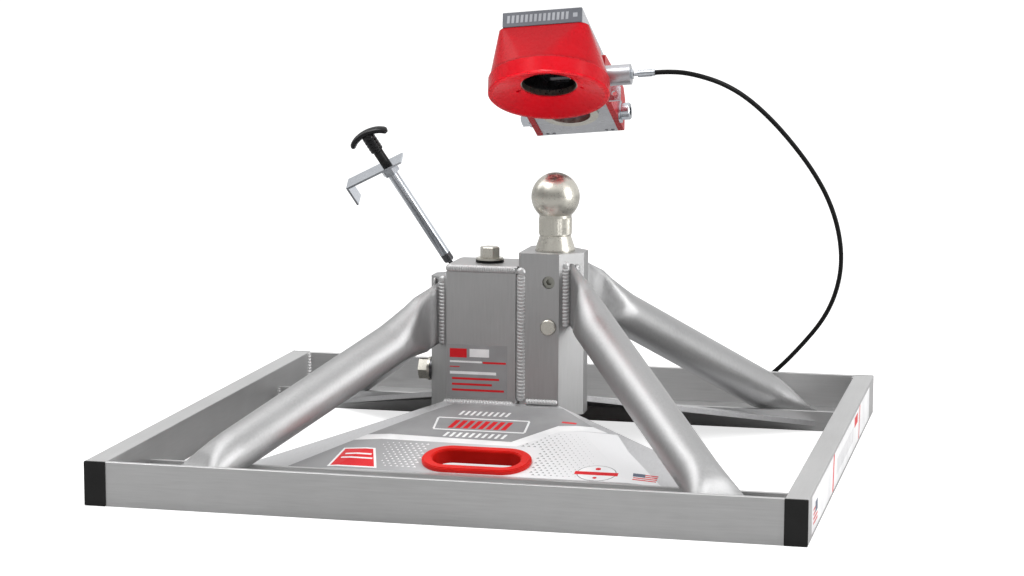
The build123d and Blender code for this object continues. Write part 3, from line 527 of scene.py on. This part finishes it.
for side_name, sign in (("front", -1), ("rear", 1)):
    face = Vector((0, sign, 0))
    seam_y = sign * (core_half - 0.001)
    upright_bead(f"seam_weld_{side_name}", seam_x, seam_y, plate_joint + 0.003, SEAM_TOP,
                 face + Vector((0.12, 0, 0)), width=0.0115, height=0.0030)
    weld_crater(f"seam_crater_{side_name}",
                Vector((seam_x + 0.0005, seam_y + sign * 0.0006, SEAM_TOP + 0.0015)),
                face + Vector((0.1, 0, 0.15)), 0.0058, 0.0034)
    slope = face + Vector((0, 0, 0.8))
    level_bead(f"tower_foot_weld_{side_name}", tower_low.x + CHAMFER - 0.004, tower_high.x - 0.005,
               sign * (core_half + 0.0008), plate_joint - 0.0016, slope, height=0.0032, pitch=0.0036)
    level_bead(f"post_foot_weld_{side_name}", tower_high.x + 0.009, post_right - CHAMFER - 0.001,
               sign * core_half, plate_joint + 0.0035, slope, width=0.0078, height=0.0026, pitch=0.0036)

lid_right, lid_left = tower_high.x - 0.004, lid_low.x - 0.0004
lid_half = core_half - LID_INSET
lid_plan = ((lid_right, -lid_half), (lid_left, -lid_half), (lid_left, lid_half), (lid_right, lid_half))
lid_corners = [Vector((x, y, lid_high.z - LID_DROP)) for x, y in lid_plan]
for i, (first, second) in enumerate(zip(lid_corners, lid_corners[1:])):
    along = (second - first).normalized()
    weld_bead(f"lid_weld_{i}", first, second, Vector((-along.y, along.x, 0)),
              width=0.0080, height=0.0026, pitch=0.0022)

for x_sign, core_x, blade_low, blade_high in (
    (1, post_right, 0.166, 0.2455),
    (-1, tower_low.x, 0.1395, 0.2235),
):
    for y_sign in (-1, 1):
        middle = Vector((core_x - x_sign * CHAMFER / 2, y_sign * (core_half - CHAMFER / 2), 0))
        normal = Vector((x_sign, y_sign, 0)).normalized()
        across = Vector((-x_sign, y_sign, 0)).normalized()
        for edge, edge_tag in ((-1, "a"), (1, "b")):
            at = middle + across * (edge * BLADE_HALF) - normal * 0.0002
            tag = corner_tag(x_sign, y_sign) + edge_tag
            upright_bead(f"blade_weld_{tag}", at.x, at.y, blade_low, blade_high - 0.003,
                         normal + across * (edge * 0.7), width=0.0112, height=0.0034)
            if edge > 0:
                weld_crater(f"blade_crater_{tag}", at + Vector((0, 0, blade_high - 0.004)) + normal * 0.0006,
                            normal + across * 0.4, 0.0052, 0.003)

pan_low, pan_high = (Vector(corner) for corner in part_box("front_channel"))
for x_sign in (-1, 1):
    for y_sign in (-1, 1):
        tag = corner_tag(x_sign, y_sign)
        inwards = Vector((-x_sign, -y_sign, 0))
        joint_x = x_sign * (pan_high.x - 0.0006)
        upright_bead(f"corner_weld_{tag}", joint_x, y_sign * (abs(pan_low.y) - 0.0071), 0.012,
                     pan_high.z - 0.001, inwards, width=0.0085, height=0.0032)
        upright_bead(f"lip_weld_{tag}", joint_x, y_sign * 0.2382, 0.004, LIP_TOP - 0.0009, inwards,
                     width=0.0075, height=0.003)

# ---------------------------------------------------------------- printed decals on the front plate
# The plate folds along two creases. Each has its x where it leaves the core, and its x at the pan's lip
CREASES = ((-0.0750, -0.160), (0.0644, 0.190))
# The x of the plate's two far corners, and their height
CORNERS = (-0.298, 0.345)
CORNER_TOP = 0.013
PLATE_FAR = abs(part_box("front_gusset_plate")[0][1])


def facet(first, second, third):
    """The height over the plan of the plane through three points, as a function."""
    normal = (second - first).cross(third - first)
    return lambda x, y: first.z - (normal.x * (x - first.x) + normal.y * (y - first.y)) / normal.z


near_left = Vector((CREASES[0][0], -core_half, plate_joint))
near_right = Vector((CREASES[1][0], -core_half, plate_joint))
far_left = Vector((CREASES[0][1], -PLATE_FAR, LIP_TOP))
far_right = Vector((CREASES[1][1], -PLATE_FAR, LIP_TOP))
facets = (
    facet(near_left, near_right, far_left),
    facet(near_left, far_left, Vector((CORNERS[0], -PLATE_FAR, CORNER_TOP))),
    facet(near_right, far_right, Vector((CORNERS[1], -PLATE_FAR, CORNER_TOP))),
)


def plate_top(x, y):
    """The height of the plate's upper face over a point of the plan."""
    return min(height(x, y) for height in facets)


# How far films go into the face below them, and stand off it one printed over another, in millimetres
FILM_SUNK = 0.04
BASE_FILM, PANEL_FILM, LOW_FILM, MIDDLE_FILM, TOP_FILM = 0.08, 0.12, 0.14, 0.20, 0.26


def printed(name, outlines, material, lift):
    """Thin printed film laid on the plate: plan outlines in millimetres, folded over the plate's creases."""
    builder = bmesh.new()
    for outline in outlines:
        face = builder.faces.new([builder.verts.new((x * MM, y * MM, 0)) for x, y in outline])
        face.normal_update()
        if face.normal.z < 0:
            face.normal_flip()
    bmesh.ops.triangulate(builder, faces=builder.faces[:])
    for near, far in CREASES:
        crease = Vector((far - near, -PLATE_FAR + core_half, 0)).normalized()
        bmesh.ops.bisect_plane(builder, geom=builder.verts[:] + builder.edges[:] + builder.faces[:],
                               plane_co=(near, -core_half, 0), plane_no=(crease.y, -crease.x, 0))
    bmesh.ops.triangulate(builder, faces=builder.faces[:])
    grown = bmesh.ops.extrude_face_region(builder, geom=builder.faces[:])
    raised = {item for item in grown["geom"] if isinstance(item, bmesh.types.BMVert)}
    for vertex in builder.verts:
        top = plate_top(vertex.co.x, vertex.co.y)
        vertex.co.z = top + (lift if vertex in raised else -FILM_SUNK) * MM
    return piece_from(name, builder, material, "root")


def round_spot(centre, radius, count=40, stretch=1.0):
    """A round outline, made longer or shorter in y by the stretch."""
    angles = [2 * pi * k / count for k in range(count)]
    return [(centre[0] + radius * cos(a), centre[1] + stretch * radius * sin(a)) for a in angles]


def strip(start, end, width):
    """A straight strip's outline, from start to end."""
    a, b = Vector(start), Vector(end)
    side = (b - a).normalized().orthogonal() * (width / 2)
    return [tuple(a + side), tuple(a - side), tuple(b - side), tuple(b + side)]


def slanted_bars(left, right, top, bottom, count, gap=0.35, slant=5.0):
    """A row of slanted bars that fills a box."""
    step = (right - left) / count
    bar = step * (1 - gap)
    return [[(left + i * step, bottom), (left + i * step + bar, bottom),
             (left + i * step + bar + slant, top), (left + i * step + slant, top)] for i in range(count)]


FADE_LEFT, FADE_RIGHT = -0.22, 0.06
fade = Look("print_fade", roughness=0.38)
fade_axes = fade.tree.nodes.new("ShaderNodeSeparateXYZ")
fade.link(fade.coordinates, fade_axes.inputs["Vector"])
fade_share = fade.spread(fade_axes.outputs["X"], 0.0, 1.0, FADE_LEFT, FADE_RIGHT)
fade.colour(fade.ramp(fade_share, (0.0, (0.22, 0.22, 0.225)), (0.45, (0.36, 0.36, 0.37)),
                      (1.0, (0.80, 0.80, 0.81))))
fade.bump((fade.noise(1200, detail=2.0), 0.00002))

# The hand slot's middle, and the opening left round it in the print, in millimetres
SLOT_X, SLOT_Y = 3.5, -202.5
OPENING_STRAIGHT, OPENING_ROUND, OPENING_HALF = 32, 25, 24.4


def half_opening(sign):
    """One half of the opening left in a print round the hand slot, from its back to its front."""
    turns = [pi / 2 - pi * k / 16 for k in range(17)]
    return [(SLOT_X + sign * (OPENING_STRAIGHT + OPENING_ROUND * cos(t)), SLOT_Y + OPENING_HALF * sin(t))
            for t in turns]


PRINT_FRONT = -236
BAND_LEFT, BAND_RIGHT = (-158, -154), (40, -157)
opening_back = (SLOT_X, SLOT_Y + OPENING_HALF)
opening_front = (SLOT_X, SLOT_Y - OPENING_HALF)
printed("decal_base", [
    [BAND_LEFT, (SLOT_X, -156.4), opening_back] + half_opening(-1)
    + [opening_front, (SLOT_X, PRINT_FRONT), (-224, PRINT_FRONT)],
    [(SLOT_X, -156.4), BAND_RIGHT, (82, -110), (150, -104), (172, -150), (226, PRINT_FRONT),
     (SLOT_X, PRINT_FRONT), opening_front] + half_opening(1)[::-1] + [opening_back],
], fade.material, BASE_FILM)
printed("decal_white_band", [
    [BAND_LEFT, (-146, -139), (31, -146), BAND_RIGHT],
    [BAND_RIGHT, (31, -146), (77, -96), (82, -110)],
    [(82, -110), (77, -96), (118, -91), (138, -103)],
], print_white, LOW_FILM)
printed("decal_dark_panel", [
    [(-62, -46), (-76, -60), (-145, -138), (31, -145), (77, -95), (117, -90), (72, -46)],
], print_mid, PANEL_FILM)

BOX_LEFT, BOX_RIGHT, BOX_TOP, BOX_BOTTOM = -72, 40, -87, -120
BOX_LEAN = 2
BOX_LINE = 2.6
printed("decal_box_outline", [
    strip((BOX_LEFT, BOX_TOP), (BOX_RIGHT, BOX_TOP), BOX_LINE),
    strip((BOX_LEFT + BOX_LEAN, BOX_BOTTOM), (BOX_RIGHT + 1, BOX_BOTTOM), BOX_LINE),
    strip((BOX_LEFT, BOX_TOP - BOX_LINE / 2), (BOX_LEFT + BOX_LEAN, BOX_BOTTOM + BOX_LINE / 2), BOX_LINE),
    strip((BOX_RIGHT, BOX_TOP - BOX_LINE / 2), (BOX_RIGHT + 1, BOX_BOTTOM + BOX_LINE / 2), BOX_LINE),
], print_white, MIDDLE_FILM)
printed("decal_red_bars", slanted_bars(-54, 20, -93, -115, 8), print_red, MIDDLE_FILM)
printed("decal_white_bars",
        slanted_bars(-50, 14, -66, -78, 9, 0.55, 3) + slanted_bars(-54, 24, -127, -139, 10, 0.55, 3),
        print_white, MIDDLE_FILM)
printed("decal_red_dash", [strip((79, -85), (97, -87), 4.0)], print_red, MIDDLE_FILM)

DIMPLE_PITCH, DIMPLE_ROW = 7.0, 0.87
CLEAR_X, CLEAR_Y = 68, 42


def dimples(left, right, top, bottom, inside, size, reach):
    """Small triangles on a staggered grid, smaller the further they are from the hand slot."""
    triangles = []
    for row in range(int((top - bottom) / (DIMPLE_PITCH * DIMPLE_ROW))):
        for column in range(int((right - left) / DIMPLE_PITCH)):
            x = left + DIMPLE_PITCH * (column + 0.5 * (row % 2))
            y = top - DIMPLE_PITCH * DIMPLE_ROW * row
            away = max(0.0, Vector((x - SLOT_X, y - SLOT_Y)).length - 50)
            scale = size * (1 - away / reach)
            clear_of_slot = abs(x - SLOT_X) > CLEAR_X or abs(y - SLOT_Y) > CLEAR_Y
            if scale > 0.5 and clear_of_slot and inside(x, y):
                triangles.append([(x - scale, y - 0.6 * scale), (x + scale, y - 0.6 * scale), (x, y + scale)])
    return triangles


def right_of_badge(x, y):
    return x > -120 + (y + 160) * -0.25


def below_band(x, y):
    return y < -112 - max(0, 82 - x) * 1.15


printed("decal_dimples_left", dimples(-128, -48, -163, -234, right_of_badge, 2.9, 110), print_white, LOW_FILM)
printed("decal_dimples_right", dimples(44, 150, -112, -234, below_band, 2.7, 105), print_mid, LOW_FILM)

badge = [(-168, -232), (-163, -178), (-124, -180), (-108, -232)]
badge_middle = Vector((-141, -206))
badge_field = [tuple(badge_middle + (Vector(p) - badge_middle) * 0.88) for p in badge]
badge_stripes = [strip((-156, -196), (-124, -197), 3.5), strip((-158, -207), (-120, -208), 3.5)]
printed("badge_border", [badge], print_white, LOW_FILM)
printed("badge_field", [badge_field], print_red, MIDDLE_FILM)
printed("badge_stripes", badge_stripes, print_white, TOP_FILM)

SEAL_X, SEAL_Y = 147, -216
SEAL_FLATNESS = 0.86
seal_marks = [round_spot((SEAL_X, SEAL_Y + 11), 3.2, 20), round_spot((SEAL_X, SEAL_Y - 12), 2.4, 20)]
printed("seal_border", [round_spot((SEAL_X, SEAL_Y), 23, stretch=SEAL_FLATNESS)], print_mid, LOW_FILM)
printed("seal_field", [round_spot((SEAL_X, SEAL_Y), 21.8, stretch=SEAL_FLATNESS)], print_white, MIDDLE_FILM)
printed("seal_band", [strip((SEAL_X - 25, SEAL_Y - 1), (SEAL_X + 25, SEAL_Y - 1), 8)], print_red, TOP_FILM)
printed("seal_marks", seal_marks, print_red, TOP_FILM)

patch_stripes = [strip((190, y), (217, y + 1), 2.2) for y in (-210, -215, -220, -225)]
patch_corner = [(188, -208), (202, -207.5), (203, -216), (189, -216.5)]
printed("patch_stripes", patch_stripes, print_red, MIDDLE_FILM)
printed("patch_corner", [patch_corner], print_navy, TOP_FILM)

# ---------------------------------------------------------------- prints on the tower, rail and coupler
def flat_print(name, plane, outlines, material, lift, body="root"):
    """Thin printed film on a flat face. Plane is its matrix, and the outlines are millimetres on it."""
    builder = bmesh.new()
    for outline in outlines:
        rings = [[plane @ Vector((u * MM, v * MM, level * MM)) for u, v in outline]
                 for level in (-FILM_SUNK, lift)]
        skin_rings(builder, rings)
    for face in builder.faces:
        face.smooth = False
    return piece_from(name, builder, material, body)


def plane_of(origin, across, up):
    """The matrix of a plane with the given origin, across and up directions."""
    across, up = Vector(across).normalized(), Vector(up).normalized()
    out = across.cross(up)
    columns = (across, up, out)
    rows = [[column[i] for column in columns] + [origin[i]] for i in range(3)]
    return Matrix(rows + [[0, 0, 0, 1]])


def block(left, right, low, high, slant=0.0):
    """A box's outline, its top pushed to the right by the slant."""
    return [(left, low), (right, low), (right + slant, high), (left + slant, high)]


tower_face = plane_of((0, -core_half, 0), (1, 0, 0), (0, 0, 1))
LABEL_LEFT = -70.7
flat_print("tower_label", tower_face, [block(-74, 1, 77, 142)], print_mid, 0.06)
flat_print("tower_label_red_marks", tower_face, [
    block(LABEL_LEFT, -49.5, 126, 137), block(-29.4, -0.6, 119.2, 121.6),
    block(LABEL_LEFT, -58.4, 114, 115.2), block(-68, -9, 98.8, 101.4),
    block(-68, -18, 91.8, 94.4), block(-68, -3, 84.8, 87.4),
], print_red, 0.12)
flat_print("tower_label_white_marks", tower_face, [
    block(-46, -21.6, 127, 137), block(LABEL_LEFT, -30.5, 119.8, 122),
    block(LABEL_LEFT, -12.8, 105.5, 109),
], print_white, 0.12)

# The rail's films are thinner, because the rail's face is the edge of the CAD's box
STICKER_FILM, MARK_FILM, CORNER_FILM = 0.006, 0.012, 0.018
STICKER_LOW, STICKER_HIGH = 5, 46
rail_face = plane_of((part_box("right_side_rail")[1][0], 0, 0), (0, 1, 0), (0, 0, 1))
rail_slashes = [block(-136, -124, STICKER_LOW, STICKER_HIGH, 9),
                block(176, 185, STICKER_LOW, STICKER_HIGH, 9), block(120, 160, 30, 42, 3)]
rail_bars = slanted_bars(-90, 110, 34, 16, 16, 0.4, 4)
rail_stripes = [block(-330, -290, z, z + 2.6) for z in (12, 17, 22, 27)]
flat_print("rail_label", rail_face, [block(-345, 320, STICKER_LOW, STICKER_HIGH)], print_white, STICKER_FILM)
flat_print("rail_label_slashes", rail_face, rail_slashes, print_red, MARK_FILM)
flat_print("rail_label_bars", rail_face, rail_bars, print_pale, MARK_FILM)
flat_print("rail_label_stripes", rail_face, rail_stripes, print_red, MARK_FILM)
flat_print("rail_label_corner", rail_face, [block(-312, -290, 22, 34)], print_navy, CORNER_FILM)

COUPLER_RIM = Vector((0.0454, -0.0134, 0.4442))
LABEL_FORWARD, LABEL_RISE = 0.0454, 0.08205
coupler_back = Vector((0.020705, 0.890942, -0.453645))
coupler_up = Vector((-0.086127, 0.453645, 0.887011))
label_middle = COUPLER_RIM - coupler_back * LABEL_FORWARD + coupler_up * LABEL_RISE
label_face = plane_of(label_middle, coupler_right, coupler_up)
coupler_marks = slanted_bars(-43, 34, 5.2, -4.6, 14, 0.42, 0.6) + [block(37.5, 43, -2.4, 3.0)]
flat_print("coupler_label_marks", label_face, coupler_marks, label_marks, 0.1, "coupler")

# ---------------------------------------------------------------- T-handle, threads and knurl
handle_across = Vector((-0.8946, 0.0308, -0.4458))
handle_across = (handle_across - handle_up * handle_across.dot(handle_up)).normalized()
handle_deep = handle_up.cross(handle_across)


def at_handle(across, deep, up):
    """A point in metres from millimetres across, behind and up the leaning handle's tube."""
    return handle_mouth + (handle_across * across + handle_deep * deep + handle_up * up) * MM


def turned(place, profile, sides=28, ridge=0.0):
    """Rings of a turned shape. Its profile is pairs of distance along and radius.

    Place maps across, deep and up to a point. With a ridge, every other point of a ring stands out by it.
    """
    rings = []
    for level, radius in profile:
        ring = []
        for k in range(sides):
            angle = 2 * pi * k / sides
            reach = radius + ridge * (k % 2)
            ring.append(place(reach * cos(angle), reach * sin(angle), level))
        rings.append(ring)
    return rings


# The T-handle's bar curves down at both ends and turns with the curve
BAR_HALF, BAR_CURVE = 25.5, 1.05
BAR_TOP, BAR_DROP = 204.5, 10.5
BAR_LEAN = radians(42)
BAR_THICK, BAR_DEEP = 3.9, 6.6
BAR_STEPS, BAR_SIDES = 32, 20
RIB_LOW, RIB_PITCH, RIB_COUNT = 179.5, 4.6, 4

grip = bmesh.new()
bar = []
for i in range(BAR_STEPS + 1):
    share = 2 * i / BAR_STEPS - 1
    across = BAR_HALF * sin(share * BAR_CURVE) / sin(BAR_CURVE)
    level = BAR_TOP - BAR_DROP * share**2
    tip = sqrt(max(0.03, 1 - max(0.0, (abs(share) - 0.82) / 0.18) ** 2))
    ring = []
    for k in range(BAR_SIDES):
        angle = 2 * pi * k / BAR_SIDES
        out = BAR_THICK * tip * sin(angle)
        ring.append(at_handle(across + out * sin(BAR_LEAN * share), BAR_DEEP * tip * cos(angle),
                              level + out * cos(BAR_LEAN * share)))
    bar.append(ring)
skin_rings(grip, bar)
stem = [(198.5, 0.5), (198.5, 6.5), (177.2, 6.5), (177.4, 7.6), (178.4, 8.2)]
for rib in range(RIB_COUNT):
    low = RIB_LOW + rib * RIB_PITCH
    stem += [(low, 8.3), (low + 0.5, 7.5), (low + 1.8, 7.5), (low + 2.3, 8.3)]
stem += [(199.5, 8.0), (203.0, 6.4), (204.0, 3.0)]
skin_rings(grip, turned(at_handle, stem))
t_handle = piece_from("t_handle_grip", grip, grip_plastic, "handle")
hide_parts("t_handle")

THREAD_ROOT, THREAD_CREST = 6.2, 6.74
THREAD_STEP = 0.4
thread = bmesh.new()
thread_profile = [(THREAD_STEP * (i + 1), THREAD_ROOT if i % 4 < 2 else THREAD_CREST) for i in range(34)]
skin_rings(thread, turned(at_handle, thread_profile))
piece_from("handle_tube_thread", thread, dark_steel, "root")

KNURL_PROFILE = [(276.6, 18.0), (276.9, 19.7), (296.0, 19.7), (297.0, 18.6)]
KNURL_RIDGES = 72
ball_low, ball_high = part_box("hitch_ball")
ball_x = (ball_low[0] + ball_high[0]) / 2 / MM


def at_ball(x, y, z):
    """A point in metres from millimetres about the ball's upright axis."""
    return Vector((x + ball_x, y, z)) * MM


knurl = bmesh.new()
skin_rings(knurl, turned(at_ball, KNURL_PROFILE, sides=2 * KNURL_RIDGES, ridge=0.28))
for face in knurl.faces:
    face.smooth = False
piece_from("ball_neck_knurl", knurl, nickel, "root")

# ---------------------------------------------------------------- floor
FLOOR_HALF = 14
PAPER_GLOW = 0.74
# Painted shade on the paper that reflections and bounced light meet: darkest grey within the first reach of
# the middle, plain grey beyond the second
PAINTED_SHADE_REACH, OPEN_REACH = 0.20, 0.46
PAINTED_SHADE_GREY, OPEN_GREY = 0.20, 0.50

floor_look = Look("floor_paper", roughness=0.9)
floor_look.colour(floor_look.ramp(floor_look.noise(3), (0.3, 0.46), (0.7, 0.50)))
paper = floor_look.tree.nodes
# Reflections and bounced light meet grey paper with painted shade: darker under the object, where shade falls
paper_with_painted_shade = paper.new("ShaderNodeBsdfDiffuse")
from_middle = paper.new("ShaderNodeVectorMath")
from_middle.operation = "LENGTH"
floor_look.link(floor_look.coordinates, from_middle.inputs[0])
# Painted shade: the paper's grey darkens towards the middle, under the object
painted_shade_tone = floor_look.spread(from_middle.outputs["Value"], PAINTED_SHADE_GREY, OPEN_GREY, PAINTED_SHADE_REACH, OPEN_REACH)
floor_look.link(painted_shade_tone, paper_with_painted_shade.inputs["Color"])
# The camera sees white paper with a glow, as if lit through from below
lit_paper = paper.new("ShaderNodeEmission")
lit_paper.inputs["Strength"].default_value = PAPER_GLOW
glowing = paper.new("ShaderNodeAddShader")
seen = paper.new("ShaderNodeMixShader")
floor_look.link(floor_look.shader.outputs["BSDF"], glowing.inputs[0])
floor_look.link(lit_paper.outputs["Emission"], glowing.inputs[1])
floor_look.link(paper.new("ShaderNodeLightPath").outputs["Is Camera Ray"], seen.inputs["Fac"])
floor_look.link(paper_with_painted_shade.outputs["BSDF"], seen.inputs[1])
floor_look.link(glowing.outputs["Shader"], seen.inputs[2])
floor_look.link(seen.outputs["Shader"], paper["Material Output"].inputs["Surface"])

floor_builder = bmesh.new()
bmesh.ops.create_grid(floor_builder, x_segments=1, y_segments=1, size=FLOOR_HALF)
floor_mesh = bpy.data.meshes.new("floor")
floor_builder.to_mesh(floor_mesh)
floor_builder.free()
floor_mesh.materials.append(floor_look.material)
floor = bpy.data.objects.new("floor", floor_mesh)
scene.collection.objects.link(floor)
